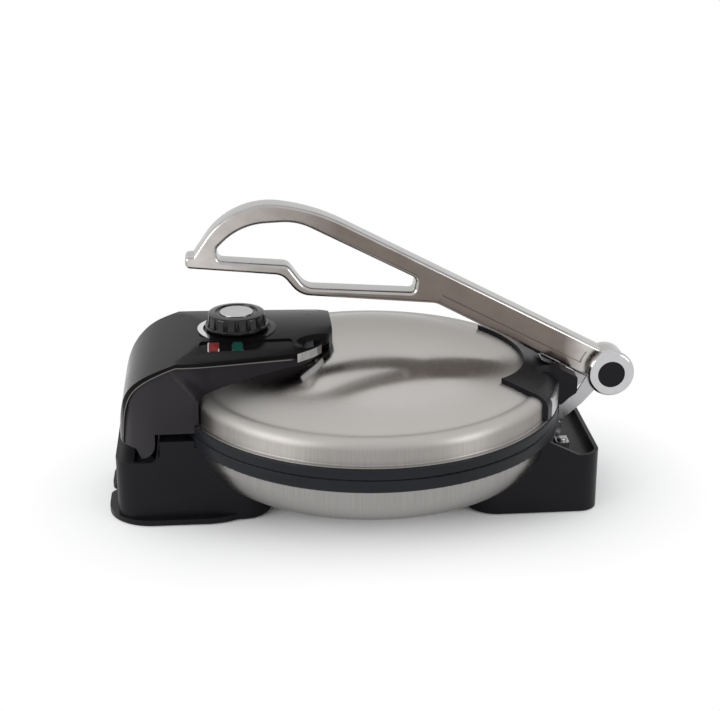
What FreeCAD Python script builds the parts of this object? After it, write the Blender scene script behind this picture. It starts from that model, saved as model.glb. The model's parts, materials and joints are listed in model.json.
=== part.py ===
"""Electric roti maker: two round baking plates in a clam-shell body, pressed by a long rear lever.

X runs across the cooker, Y from the control end (-Y) to the hinge end (+Y), Z up from the table.
The plates' axis is X = Y = 0. All lengths are millimetres.
"""
import FreeCAD, Part
import math
import os

Vector = FreeCAD.Vector

# Plates and clam-shell
PLATE_R = 127.0          # 10 inch baking plates
PLATE_T = 6.3
RING_R = 140.0           # heat-proof rings round both plates
RING_IN_R = PLATE_R + 0.9
SEAM_Z = 68.0            # parting plane of the two halves
SEAM_GAP = 0.3
RING_TOP_Z = 76.5
RING_BOTTOM_Z = 58.7
STEEL_T = 1.0            # pressed steel skins
LID_R = 136.0
DOME_Z = 120.5           # crown of the lid
DOME_FALL = 600.0        # the dome drops r*r / DOME_FALL
PAN_R = 134.0
PAN_FLOOR_Z = 16.0

# Hinge of the lid and pivot of the lever
HINGE_Y, HINGE_Z = 143.0, 84.0
HINGE_PIN_R = 3.0
HINGE_PIN_END_X = 26.5
PIVOT_Y, PIVOT_Z = 178.0, 90.5
PIVOT_PIN_R = 5.0
BUSH_R = 7.5
RUNNING_GAP = 0.05       # radial clearance of a shaft that turns
CAP_R = 17.4
LEVER_HALF_W = 9.0
HUB_HALF_W = 11.8
HUB_R = 15.0
ARM_EYE_R = 14.0
ARM_IN_X = 12.3          # bracket arms on both sides of the hub
ARM_T = 2.0
ARM_OUT_X = ARM_IN_X + ARM_T

# Control end
HOUSING_FRONT_Y = -183.5
PANEL_REAR_Y = -26.0
PANEL_Z = 124.0          # long edges of the panel
PANEL_CROWN = 5.5        # rise of the panel in its middle
PANEL_T = 3.0
KNOB_Y = -97.0
KNOB_R = 22.8

# Feet
PAD_PROUD = 1.0
FRONT_FOOT_HALF_W = 53.5
REAR_FOOT_HALF_W = 62.0
POCKET_FLOOR_Z = 38.0

FAR = 220.0              # reaches past the cooker on every side


# ---------------------------------------------------------------- drawing tools

PLANES = {
    "xy": lambda a, b: Vector(a, b, 0),
    "xz": lambda a, b: Vector(a, 0, b),
    "yz": lambda a, b: Vector(0, a, b),
}


def face(plane, start, *steps):
    """Flat face inside a closed outline; a step of one point is a line, of two an arc, else a curve."""
    place = PLANES[plane]
    here = place(*start)
    edges = []
    for step in steps + ((start,),):
        points = [place(*point) for point in step]
        if len(points) == 1 and points[0].distanceToPoint(here) < 1e-6:
            continue
        if len(points) == 1:
            edges.append(Part.LineSegment(here, points[0]).toShape())
        elif len(points) == 2:
            edges.append(Part.Arc(here, *points).toShape())
        else:
            curve = Part.BSplineCurve()
            curve.interpolate([here] + points)
            edges.append(curve.toShape())
        here = points[-1]
    return Part.Face(Part.Wire(edges))


def rounded(plane, *corners):
    """Flat face of a polygon whose corners (a, b, radius) are rounded by tangent arcs."""
    place = PLANES[plane]
    spots = [place(a, b) for a, b, _ in corners]
    edges = []
    first = here = None
    for i, (spot, corner) in enumerate(zip(spots, corners)):
        back = (spots[i - 1] - spot).normalize()
        ahead = (spots[(i + 1) % len(spots)] - spot).normalize()
        half = back.getAngle(ahead) / 2
        radius = corner[2]
        start = spot + back * (radius / math.tan(half))
        end = spot + ahead * (radius / math.tan(half))
        if here is None:
            first = start
        else:
            edges.append(Part.LineSegment(here, start).toShape())
        if radius:
            inward = (back + ahead).normalize()
            middle = spot + inward * (radius / math.sin(half) - radius)
            edges.append(Part.Arc(start, middle, end).toShape())
        here = end
    edges.append(Part.LineSegment(here, first).toShape())
    return Part.Face(Part.Wire(edges))


def turned(profile):
    """Solid of revolution about the plates' axis."""
    return profile.revolve(Vector(0, 0, 0), Vector(0, 0, 1), 360)


def across(profile, x_low, x_high):
    """Solid of a YZ outline between two X planes."""
    profile = profile.copy()
    profile.translate(Vector(x_low, 0, 0))
    return profile.extrude(Vector(x_high - x_low, 0, 0))


def upright(profile, z_low, z_high):
    """Solid of an XY outline between two heights."""
    profile = profile.copy()
    profile.translate(Vector(0, 0, z_low))
    return profile.extrude(Vector(0, 0, z_high - z_low))


def box(x, y, z):
    """Block between the low and high values of each pair."""
    return Part.makeBox(x[1] - x[0], y[1] - y[0], z[1] - z[0], Vector(x[0], y[0], z[0]))


def rod(radius, x_low, x_high, y, z):
    """Round bar along X."""
    return Part.makeCylinder(radius, x_high - x_low, Vector(x_low, y, z), Vector(1, 0, 0))


def post(radius, x, y, z_low, z_high):
    """Round bar along Z."""
    return Part.makeCylinder(radius, z_high - z_low, Vector(x, y, z_low))


def both_sides(shape):
    """The shape and its mirror image in the middle plane."""
    return [shape, shape.mirror(Vector(0, 0, 0), Vector(1, 0, 0))]


def joined(shapes):
    """One solid of shapes that meet."""
    shapes = list(shapes)
    return shapes[0].multiFuse(shapes[1:]).removeSplitter()


def without(shape, *tools):
    """The shape less its tools."""
    return shape.cut(list(tools))


# ---------------------------------------------------------------- pressed steel skins

PAN_RIM_Z = 62.0
PAN_CORNER_R = 25.3
PAN_CORNER_Z = 52.0
PAN_SLOPE = math.radians(26.57)
PAN_BELLY_R = 126.6
PAN_FLAT_R = 63.3


def pan(inset):
    """Filled lower pan, its outer surface moved in by inset."""
    corner_r = PAN_CORNER_R - inset
    belly_r = PAN_BELLY_R - inset
    corner_x = PAN_R - PAN_CORNER_R
    belly_z = PAN_FLOOR_Z + PAN_BELLY_R

    def belly(angle):
        return PAN_FLAT_R + belly_r * math.sin(angle), belly_z - belly_r * math.cos(angle)

    def corner(angle):
        return corner_x + corner_r * math.sin(angle), PAN_CORNER_Z - corner_r * math.cos(angle)

    turn = (PAN_SLOPE + math.pi / 2) / 2
    return turned(face("xz", (0, PAN_FLOOR_Z + inset), (belly(0),),
                       (belly(PAN_SLOPE / 2), belly(PAN_SLOPE)),
                       (corner(turn), corner(math.pi / 2)),
                       ((PAN_R - inset, PAN_RIM_Z),), ((0, PAN_RIM_Z),)))


WALL_TOP_Z = 82.5        # the lid's upright wall ends here
SHOULDER = 11.5          # width of the curve between wall and dome
SHOULDER_Z = 90.3        # height of its middle


def dome_z(r):
    """Height of the dome at a radius."""
    return DOME_Z - r * r / DOME_FALL


def dome(grow, foot_z):
    """Filled lid, its outer surface moved out by grow, down to foot_z."""
    wall_r = LID_R + grow
    crown = [(r, dome_z(r) + grow) for r in (80, 40, 0)]
    shoulder = (wall_r - 2.6, SHOULDER_Z + grow * 0.7), (wall_r - SHOULDER, dome_z(LID_R - SHOULDER) + grow)
    return turned(face("xz", (0, foot_z), ((wall_r, foot_z),), ((wall_r, WALL_TOP_Z),), shoulder, crown))


def lower_shell():
    """Pressed pan under the lower plate."""
    return without(pan(0), pan(STEEL_T))


def lid_shell():
    """Pressed dome over the upper plate."""
    return without(dome(0, RING_TOP_Z), dome(-STEEL_T, RING_TOP_Z - 5))


# ---------------------------------------------------------------- rings, plates and heaters

LEDGE_R = RING_IN_R - 6.0                    # inner edge of the ledges that hold the plates
LOWER_LIP_Z = SEAM_Z - SEAM_GAP / 2
UPPER_LIP_Z = SEAM_Z + SEAM_GAP / 2
LOWER_SEAT_Z = 60.5                          # underside of the lower plate
UPPER_SEAT_Z = UPPER_LIP_Z + 0.7             # baking face of the upper plate
UPPER_LEDGE_Z = UPPER_SEAT_Z + PLATE_T
PAN_SLOT_R = 132.9, 134.1                    # slot in the lower ring for the pan's edge


def lower_ring():
    """Ring round the lower plate, slotted for the edge of the pan."""
    slot_in, slot_out = PAN_SLOT_R
    slot_z = PAN_RIM_Z + 0.1
    return turned(rounded("xz", (LEDGE_R, RING_BOTTOM_Z, 0), (slot_in, RING_BOTTOM_Z, 0),
                          (slot_in, slot_z, 0), (slot_out, slot_z, 0), (slot_out, RING_BOTTOM_Z, 0),
                          (RING_R, RING_BOTTOM_Z, 1.5), (RING_R, LOWER_LIP_Z, 1.0),
                          (RING_IN_R, LOWER_LIP_Z, 0.5), (RING_IN_R, LOWER_SEAT_Z, 0),
                          (LEDGE_R, LOWER_SEAT_Z, 0)))


def upper_ring():
    """Ring round the upper plate, under the lid's wall."""
    return turned(rounded("xz", (RING_IN_R, UPPER_LIP_Z, 0.5), (RING_R, UPPER_LIP_Z, 1.0),
                          (RING_R, RING_TOP_Z, 1.5), (LEDGE_R, RING_TOP_Z, 0), (LEDGE_R, UPPER_LEDGE_Z, 0),
                          (RING_IN_R, UPPER_LEDGE_Z, 0)))


def plate(z_low, edge_up):
    """Cast plate with a rounded rim on its baking side."""
    z_high = z_low + PLATE_T
    low_r, high_r = (0.0, 1.8) if edge_up else (1.8, 0.0)
    return turned(rounded("xz", (0, z_low, 0), (PLATE_R, z_low, low_r), (PLATE_R, z_high, high_r),
                          (0, z_high, 0)))


HEATER_R = 86.0
HEATER_TUBE_R = 3.2
HEATER_GAP = math.radians(14)                # half of the opening of its ring


def element(z):
    """Tubular heater bent to an open ring."""
    turns = HEATER_GAP, math.pi, -HEATER_GAP
    ends = [Vector(HEATER_R * math.sin(turn), -HEATER_R * math.cos(turn), z) for turn in turns]
    path = Part.Wire(Part.Arc(*ends).toShape())
    heading = Vector(math.cos(HEATER_GAP), math.sin(HEATER_GAP), 0)
    section = Part.Wire(Part.makeCircle(HEATER_TUBE_R, ends[0], heading))
    return path.makePipeShell([section], True, False)


# ---------------------------------------------------------------- feet

FOOT_WALL_T = 3.0
FOOT_TOP_Z = 64.0
DECK_Z = 48.0            # low front deck of the front foot
DECK_END_Y = -173.5
SOLE_T = 4.2
SOLE_IN_X = 2.5
FRONT_SOLE_HALF_W = 59.5
PAD_R = 7.0
PAD_SPOTS = [(34, -168), (40, -98), (46, 92), (48, 149)]
REAR_FOOT_END_Y = 163.5
GLAND_X, GLAND_Z = -38.0, 16.0
LEAD_BORE_R = 3.6        # hole for the mains lead


def seat_cut(gap):
    """Space of the pan and the lower ring, which the feet carry, grown by gap."""
    return [pan(-gap), Part.makeCylinder(RING_R + 0.3 + gap, 40, Vector(0, 0, RING_BOTTOM_Z - gap))]


def pad_bosses():
    """Posts inside both feet that end in the rubber pads."""
    return Part.makeCompound([post(PAD_R + 2, side * x, y, 0, FOOT_TOP_Z)
                              for x, y in PAD_SPOTS for side in (-1, 1)])


def front_sole():
    """Flat soles of the front foot, one on each side, wider than its walls."""
    outline = rounded("xy", (SOLE_IN_X, -194, 9), (FRONT_SOLE_HALF_W, -194, 33),
                      (FRONT_SOLE_HALF_W, -79, 44), (SOLE_IN_X, -79, 0))
    return both_sides(upright(outline, PAD_PROUD, PAD_PROUD + SOLE_T))


def front_foot():
    """Hollow foot under the control end, with a low deck and a slot in front for the tongue."""
    w = FRONT_FOOT_HALF_W
    t = FOOT_WALL_T
    front, rear, step_y = -187.0, -76.0, -154.5
    plan = rounded("xy", (-w, front, 15), (w, front, 15), (w, rear, 22), (-w, rear, 22))
    room = rounded("xy", (-w + t, front + t, 12), (w - t, front + t, 12), (w - t, rear - t, 19),
                   (-w + t, rear - t, 19))

    def step(drop, corner_r):
        y, z = step_y + drop, DECK_Z - drop
        return across(rounded("yz", (-FAR, FAR, 0), (-FAR, z, 0), (y, z, corner_r), (y, FAR, 0)), -FAR, FAR)

    body = joined([upright(plan, PAD_PROUD, FOOT_TOP_Z)] + front_sole())
    slot = box((t - w, w - t), (DECK_END_Y, step_y - t), (DECK_Z - 2 * t, FAR))
    hollow = without(upright(room, 0, FOOT_TOP_Z - t), step(t, 5), pad_bosses(), *seat_cut(t))
    return without(body, step(0, 8), slot, hollow, *seat_cut(0))


def lead_bore():
    """Hole for the mains lead through the back of the rear foot and its grommet."""
    start = Vector(GLAND_X, REAR_FOOT_END_Y - 8.5, GLAND_Z)
    return Part.makeCylinder(LEAD_BORE_R, 20, start, Vector(0, 1, 0))


def rear_foot():
    """Hollow foot under the hinge end; the bracket stands on the floor of its pocket."""
    w = REAR_FOOT_HALF_W
    t = FOOT_WALL_T
    front, rear = 68.0, REAR_FOOT_END_Y
    plan = rounded("xy", (-w, front, 22), (w, front, 22), (w, rear, 14), (-w, rear, 14))
    room = rounded("xy", (-w + t, front + t, 19), (w - t, front + t, 19), (w - t, rear - t, 11),
                   (-w + t, rear - t, 11))
    top = across(rounded("yz", (100, 57.5, 0), (124, 57.5, 8), (147, 46, 10), (FAR, 46, 0), (FAR, 90, 0),
                         (100, 90, 0)), -FAR, FAR)
    pocket = without(upright(room, POCKET_FLOOR_Z, FAR), box((-FAR, FAR), (0, 100), (0, FAR)),
                     post(RING_R - 2.5, 0, 0, 0, FAR))
    hollow = without(upright(room, 0, POCKET_FLOOR_Z - t), pad_bosses(), *seat_cut(t))
    return without(upright(plan, PAD_PROUD, 60), top, pocket, hollow, lead_bore(), *seat_cut(0))


def foot_pads():
    """Rubber pads on the bosses under both feet."""
    pads = []
    for x, y in PAD_SPOTS:
        pad = turned(rounded("xz", (0, 0, 0), (PAD_R, 0, 0.6), (PAD_R, PAD_PROUD, 0), (0, PAD_PROUD, 0)))
        pad.translate(Vector(x, y, 0))
        pads += both_sides(pad)
    return Part.makeCompound(pads)


# ---------------------------------------------------------------- lever bracket and its pins

BRACKET_FRONT_Y = 137.8
WEB_Y = 140.6
HINGE_EYE_R = 5.6
SCREW_R = 2.2
SCREW_X, SCREW_Y = 20.0, 142.6


def lever_bracket():
    """Folded steel channel: a web behind the rings, and two arms that carry lid hinge and lever pivot."""
    arm = rounded("yz", (BRACKET_FRONT_Y, POCKET_FLOOR_Z, 0), (BRACKET_FRONT_Y, 57.4, 0.4),
                  (WEB_Y, 58.6, 0.4), (WEB_Y, 77, 0), (HINGE_Y, HINGE_Z, 0), (148.3, 83, 0),
                  (148.6, 76.2, 2), (152.4, 74.6, 2), (164.8, 96, 0), (PIVOT_Y, PIVOT_Z, 0),
                  (167.6, 78.2, 0), (158, 67.2, 8), (145.6, 56.4, 3), (144.2, 51, 3), (141, POCKET_FLOOR_Z, 0))
    arm = across(arm, ARM_IN_X, ARM_OUT_X)
    hinge_eye = rod(HINGE_EYE_R, ARM_IN_X, ARM_OUT_X, HINGE_Y, HINGE_Z)
    pivot_eye = rod(ARM_EYE_R, ARM_IN_X, ARM_OUT_X, PIVOT_Y, PIVOT_Z)
    tab = upright(rounded("xy", (ARM_IN_X, BRACKET_FRONT_Y, 0), (25.5, BRACKET_FRONT_Y, 2), (25.5, 147.5, 2),
                          (ARM_IN_X, 147.5, 0)), POCKET_FLOOR_Z, POCKET_FLOOR_Z + ARM_T)
    side = joined([arm, hinge_eye, pivot_eye, tab])
    side = without(side, rod(PIVOT_PIN_R, 0, FAR, PIVOT_Y, PIVOT_Z),
                   rod(HINGE_PIN_R, 0, FAR, HINGE_Y, HINGE_Z), post(SCREW_R, SCREW_X, SCREW_Y, 0, 60),
                   rod(1.6, 0, FAR, 142.3, 53.6))
    web = box((-ARM_OUT_X, ARM_OUT_X), (WEB_Y, WEB_Y + ARM_T), (60, 73))
    return joined(both_sides(side) + [web])


def bracket_screws():
    """Pan-head screws of the bracket's feet."""
    z = POCKET_FLOOR_Z + ARM_T
    head = turned(rounded("xz", (0, z, 0), (3.6, z, 0), (3.6, z + 2.2, 1.4), (0, z + 2.2, 0)))
    head.translate(Vector(SCREW_X, SCREW_Y, 0))
    screw = joined([head, post(SCREW_R, SCREW_X, SCREW_Y, POCKET_FLOOR_Z, z)])
    return Part.makeCompound(both_sides(screw))


def lever_pin():
    """Pin through both arms, on which the lever's bush turns."""
    return rod(PIVOT_PIN_R, -ARM_OUT_X, ARM_OUT_X, PIVOT_Y, PIVOT_Z)


CAP_FACE_X = 18.2
CAP_FACE_R = 14.7
PLUG_R = 10.1
NUT_R = 11.0


def on_pivot(shape):
    """A turned piece laid on the lever's pivot, its axis from Z to X."""
    shape.rotate(Vector(0, 0, 0), Vector(0, 1, 0), 90)
    shape.translate(Vector(0, PIVOT_Y, PIVOT_Z))
    return shape


def pivot_cap():
    """Chromed head of the pivot, dished for its plug."""
    ring = face("xz", (0, ARM_OUT_X), ((CAP_R, ARM_OUT_X),), ((CAP_R, CAP_FACE_X - 2.4),),
                ((CAP_R - 0.7, CAP_FACE_X - 0.8), (CAP_FACE_R, CAP_FACE_X)), ((PLUG_R, CAP_FACE_X),),
                ((PLUG_R, CAP_FACE_X - 2),), ((0, CAP_FACE_X - 2),))
    return on_pivot(turned(ring))


def cap_plug():
    """Black disc in the pivot's cap."""
    low, high = CAP_FACE_X - 2, CAP_FACE_X - 0.5
    return on_pivot(turned(rounded("xz", (0, low, 0), (PLUG_R, low, 0), (PLUG_R, high, 0.4), (0, high, 0))))


def pivot_nut():
    """Domed nut on the far end of the pivot."""
    nut = rounded("xz", (0, -ARM_OUT_X, 0), (NUT_R, -ARM_OUT_X, 0), (NUT_R, -CAP_FACE_X, 2.2),
                  (0, -CAP_FACE_X, 0))
    return on_pivot(turned(nut))


def lid_hinge_pin():
    """Pin through the bracket's arms and the cover's cheeks."""
    return rod(HINGE_PIN_R, -HINGE_PIN_END_X, HINGE_PIN_END_X, HINGE_Y, HINGE_Z)


def cord_gland():
    """Grommet of the mains lead, low on the back of the rear foot."""
    flange = Part.makeCylinder(7.5, 2.2, Vector(GLAND_X, REAR_FOOT_END_Y, GLAND_Z), Vector(0, 1, 0))
    return without(flange, lead_bore())


# ---------------------------------------------------------------- control end

HOUSING_HALF_W = 56.5
REAR_HALF_W = 46.0
WAIST_Y = -125.0         # the sides draw in behind this line
SIDE_INSET = 1.6
WALL_T = 2.6
TONGUE_Y = -157.5        # rear face of the tongue that hangs before the foot
TONGUE_Z = 50.2
TONGUE_CORNER_R = 13.0
APRON_Z = 57.5           # lower edge of the front, ahead of the tongue
SKIRT_Z = 70.5           # lower edge of the side walls
BOSS_Z = 119.5
SHAFT_R = 3.0


def side_profile(inset):
    """Outline of the control end seen from the side, its front and top moved in by inset."""
    front = HOUSING_FRONT_Y + inset
    rear = PANEL_REAR_Y - 2 - inset
    top = PANEL_Z + PANEL_CROWN - inset
    return face("yz", (front, 40), ((front, 62),),
                ((front + 2.4, 84), (front + 8.2, 101 - 0.4 * inset),
                 (-162.5 + 0.7 * inset, 114 - 0.8 * inset), (-147, top - 8.2),
                 (-126, top - 1.8), (-100, top + 1)),
                ((rear, top + 1),), ((rear, 40),))


def plan_outline(inset):
    """Outline of the control end seen from above."""
    front = HOUSING_FRONT_Y
    half_w = HOUSING_HALF_W - inset
    rear_w = REAR_HALF_W - inset
    rear = PANEL_REAR_Y - inset
    return rounded("xy", (-half_w, front, 32), (half_w, front, 32), (half_w, WAIST_Y, 150),
                   (rear_w, rear, 17), (-rear_w, rear, 17), (-half_w, WAIST_Y, 150))


def arch(drop):
    """Crowned cross-section of the panel, carried along the cooker."""
    edge_z = PANEL_Z - drop
    crown_z = edge_z + PANEL_CROWN
    half_w = HOUSING_HALF_W + 3
    profile = face("xz", (-half_w, 20), ((-half_w, edge_z - 1),), ((0, crown_z), (half_w, edge_z - 1)),
                   ((half_w, 20),))
    profile.translate(Vector(0, -200, 0))
    return profile.extrude(Vector(0, 200, 0))


def control_block(inset, drop):
    """Solid block of the control end, moved in by inset at the sides and by drop at top and front."""
    block = across(side_profile(drop), -FAR, FAR)
    return block.common(upright(plan_outline(inset), 30, 140)).common(arch(drop))


def control_panel():
    """Gloss skin over the top and the front of the control end."""
    below = box((-FAR, FAR), (-FAR, 0), (0, APRON_Z))
    shaft_hole = post(SHAFT_R + 1.2, 0, KNOB_Y, 0, FAR)
    skin = without(control_block(0, 0), control_block(-5, PANEL_T), below)
    return without(skin, shaft_hole, strip_shape(), dome(0, APRON_Z - 10), tab_band(0), *corner_dishes())


def tongue_corner():
    """What the rounding takes off the tongue's lower rear edge."""
    r = TONGUE_CORNER_R
    centre = Vector(0, TONGUE_Y - r, TONGUE_Z + r)
    disc = Part.Face(Part.Wire(Part.makeCircle(r, centre, Vector(1, 0, 0))))
    corner = face("yz", (TONGUE_Y - r, TONGUE_Z), ((TONGUE_Y, TONGUE_Z),), ((TONGUE_Y, TONGUE_Z + r),))
    return across(without(corner, disc), -FAR, FAR)


def ring_room(gap):
    """Space of both rings, grown by gap."""
    return Part.makeCylinder(RING_R + gap, RING_TOP_Z + 0.2)


def control_housing():
    """Hollow moulding under the panel: side walls, a tongue before the foot, and the thermostat's boss."""
    tongue_in_y = TONGUE_Y - WALL_T
    outer = control_block(SIDE_INSET, PANEL_T)
    over_lid = box((-FAR, FAR), (tongue_in_y, 0), (0, SKIRT_Z + WALL_T))
    over_tongue = box((-FAR, FAR), (-FAR, tongue_in_y), (0, APRON_Z + WALL_T))
    boss = post(19, 0, KNOB_Y, BOSS_Z, PANEL_Z)
    inner = without(control_block(SIDE_INSET + WALL_T, PANEL_T + WALL_T), over_lid, over_tongue, boss)
    below = across(face("yz", (-FAR, 0), ((-FAR, APRON_Z),), ((-171.5, APRON_Z),), ((-167.5, TONGUE_Z),),
                        ((TONGUE_Y, TONGUE_Z),), ((TONGUE_Y, 0),)), -FAR, FAR)
    behind = box((-FAR, FAR), (TONGUE_Y, 0), (0, SKIRT_Z))
    return without(outer, inner, below, behind, tongue_corner(), ring_room(0.2), dome(0, RING_TOP_Z - 10),
                   tab_band(0), post(NECK_R, 0, KNOB_Y, 0, FAR), *corner_dishes())


# ---------------------------------------------------------------- lamps, scale and trim

STRIP_X = 24.5, 41.0
STRIP_Y = -124.0, -58.0
STRIP_DEPTH = 1.4
LAMPS = {"red": -114.0, "green": -97.0}
LAMP_HALF_L = 3.4
LAMP_FRAME_T = 0.7
LAMP_BASE = PANEL_T - 0.6                    # depth of the lamps' lower faces


def panel_skin(low, high):
    """Layer between two depths under the panel's crowned top."""
    return without(arch(low), arch(high))


def strip_shape():
    """Recess of the lamp strip, cut through the panel's upper layer."""
    (left, right), (front, rear) = STRIP_X, STRIP_Y
    outline = rounded("xy", (left, front, 3), (right, front, 3), (right, rear, 3), (left, rear, 3))
    return upright(outline, 110, 140).common(panel_skin(-5, LAMP_BASE))


def lamp_outline(y, grow):
    """Rounded rectangle of a lamp, grown by grow."""
    low, high = STRIP_X[0] + 1.5 - grow, STRIP_X[1] - 1.5 + grow
    front, rear = y - LAMP_HALF_L - grow, y + LAMP_HALF_L + grow
    return rounded("xy", (low, front, 1.5), (high, front, 1.5), (high, rear, 1.5), (low, rear, 1.5))


def lamp_strip():
    """Gloss inlay of the recess, with a seat for each lamp."""
    inlay = strip_shape().common(panel_skin(STRIP_DEPTH, PANEL_T))
    seats = [upright(lamp_outline(y, LAMP_FRAME_T), 110, 140) for y in LAMPS.values()]
    return without(inlay, *seats)


def lamp(y):
    """Lens that stands a little under the panel's top."""
    return upright(lamp_outline(y, 0.0), 110, 140).common(panel_skin(0.2, LAMP_BASE))


def lamp_bezels():
    """Bright frames round both lamps."""
    frames = []
    for y in LAMPS.values():
        frame = upright(lamp_outline(y, LAMP_FRAME_T), 110, 140).common(panel_skin(0.5, LAMP_BASE))
        frames.append(without(frame, upright(lamp_outline(y, 0.0), 110, 140)))
    return Part.makeCompound(frames)


SCALE_IN_R = 24.5
SCALE_R = 28.5


def scale_ring():
    """Bright ring let into the panel round the knob."""
    band = without(post(SCALE_R, 0, KNOB_Y, 110, 140), post(SCALE_IN_R, 0, KNOB_Y, 110, 140))
    return without(band.common(panel_skin(-0.5, 0.0)), box((20, 40), (-150, -40), (100, 150)))


DISH_R = 20.0
DISH_X, DISH_Y = 36.5, -44.0
TAB_T = 3.4


def corner_dishes():
    """Round hollows in both rear corners of the panel, above the bright tabs."""
    return both_sides(Part.makeSphere(DISH_R, Vector(DISH_X, DISH_Y, PANEL_Z + DISH_R - 0.9)))


def tab_band(proud):
    """Room of the bright tabs along both rear corners of the panel."""
    band = without(upright(plan_outline(-proud), 30, 140), upright(plan_outline(TAB_T), 30, 140))
    span = joined(both_sides(box((30, 70), (-55, -37), (100, 140))))
    return without(band.common(panel_skin(0.6, 7.0)).common(span), dome(0, 60))


def panel_trim():
    """Bright tabs let into both rear corners under the dished hollows."""
    return without(tab_band(0.4), *corner_dishes())


# ---------------------------------------------------------------- lever

HOLLOW_DEPTH = 1.8
HOLLOW_END_R = 22.5      # the hollows end on an arc round the pivot
LOOP_EDGE_R = 3.5        # rounding of the finger loop
LEVER_EDGE_R = 2.5


def flank_edges(body, outline):
    """Edges of the lever's flat sides that follow an outline."""
    found = []
    for edge in body.Edges:
        middle = edge.valueAt((edge.FirstParameter + edge.LastParameter) / 2)
        spots = [middle] + [vertex.Point for vertex in edge.Vertexes]
        on_side = all(abs(abs(spot.x) - LEVER_HALF_W) < 0.001 for spot in spots)
        beside = Part.Vertex(0, middle.y, middle.z)
        if on_side and beside.distToShape(outline.OuterWire)[0] < 0.001:
            found.append(edge)
    return found


def press_lever():
    """Cast lever: a long finger loop with rounded edges, and a rear arm hollowed on both sides."""
    outline = rounded("yz", (-132.2, 177.8, 3.8), (-132.2, 186.6, 3.6), (-126.2, 186.4, 1),
                      (-98.5, 227.2, 55), (-40.6, 219.1, 137), (171, 106.9, 0), (PIVOT_Y, PIVOT_Z, 0),
                      (163, 84.4, 0), (48, 146.4, 14), (-51.3, 155.5, 17.8), (-63.3, 170.9, 11.5))
    loop = rounded("yz", (-109.8, 191.3, 5.5), (-108.5, 182.6, 4), (-59.1, 178.2, 7.3), (-46.5, 160.9, 12.5),
                   (31.5, 155.4, 3), (33, 165.7, 4), (-52.5, 210.1, 41.3), (-92.1, 208.4, 45.2))
    body = without(across(outline, -LEVER_HALF_W, LEVER_HALF_W), across(loop, -FAR, FAR))
    body = body.makeFillet(LOOP_EDGE_R, flank_edges(body, loop))
    body = body.makeFillet(LEVER_EDGE_R, flank_edges(body, outline))
    hub = rod(HUB_R, -HUB_HALF_W, HUB_HALF_W, PIVOT_Y, PIVOT_Z)
    hollow = across(rounded("yz", (50, 160.5, 3), (52, 152.4, 3), (162, 93.9, 0), (168, 101.5, 0),
                            (56, 162.6, 4)), LEVER_HALF_W - HOLLOW_DEPTH, FAR)
    hollow = without(hollow, rod(HOLLOW_END_R, 0, FAR, PIVOT_Y, PIVOT_Z))
    body = joined([body, hub])
    return without(body, rod(BUSH_R + RUNNING_GAP, -FAR, FAR, PIVOT_Y, PIVOT_Z), *both_sides(hollow))


def lever_bush():
    """Bronze bush between the lever's hub and its pin."""
    tube = rod(BUSH_R, -HUB_HALF_W, HUB_HALF_W, PIVOT_Y, PIVOT_Z)
    return without(tube, rod(PIVOT_PIN_R + RUNNING_GAP, -FAR, FAR, PIVOT_Y, PIVOT_Z))


# ---------------------------------------------------------------- cover and hinge of the lid

COVER_T = 3.2
BAND_HALF_W = 60.0
STRAP_TOP_Z = 90.5
CRESCENT_R = 76.0        # the cover's front edge curves round this circle
CRESCENT_Y = 38.0
CHEEK_OUT_X = 28.0
CHEEK_IN_X = ARM_OUT_X + 0.5


def rear_cover():
    """Moulding over the back of the lid: a crescent on the dome, a skirt, and two hinge cheeks."""
    plan = upright(rounded("xy", (-55, 86, 0), (55, 86, 0), (68, 114, 8), (70, 150, 0), (-70, 150, 0),
                           (-68, 114, 8)), 60, 130)
    skin = without(dome(COVER_T, 76.9).common(plan), post(CRESCENT_R, 0, CRESCENT_Y, 60, 140))
    beside = both_sides(box((BAND_HALF_W, FAR), (-FAR, FAR), (0, FAR)))
    front_half = box((-FAR, FAR), (-FAR, 0), (0, FAR))
    skin = without(skin, without(post(160, 0, 0, 60, STRAP_TOP_Z + 0.2), front_half, *beside))
    cheek = across(rounded("yz", (118, 90, 0), (118, 98.5, 3), (131, 98.2, 2), (137.5, 100, 2),
                           (150.5, 93, 2), (150.5, 81, 3.5), (145, 77.2, 3), (139.6, 72, 1),
                           (136, 72, 0), (136, 90, 0)), CHEEK_IN_X, CHEEK_OUT_X)
    pin_hole = rod(HINGE_PIN_R + RUNNING_GAP, 0, HINGE_PIN_END_X + 0.1, HINGE_Y, HINGE_Z)
    cover = joined([skin] + both_sides(without(cheek, pin_hole)))
    slot = box((-CHEEK_IN_X, CHEEK_IN_X), (136.2, 160), (60, 130))
    return without(cover, ring_room(0.1), slot, dome(0, 60), hinge_strap(0.0))


def hinge_strap(gap):
    """Curved strap round the back of the lid, grown by gap."""
    ring = without(post(139.6 + gap, 0, 0, RING_TOP_Z, STRAP_TOP_Z + gap), post(137.6 - gap, 0, 0, 60, 100))
    return ring.common(box((-BAND_HALF_W - gap, BAND_HALF_W + gap), (60, 160), (60, 100)))


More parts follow.
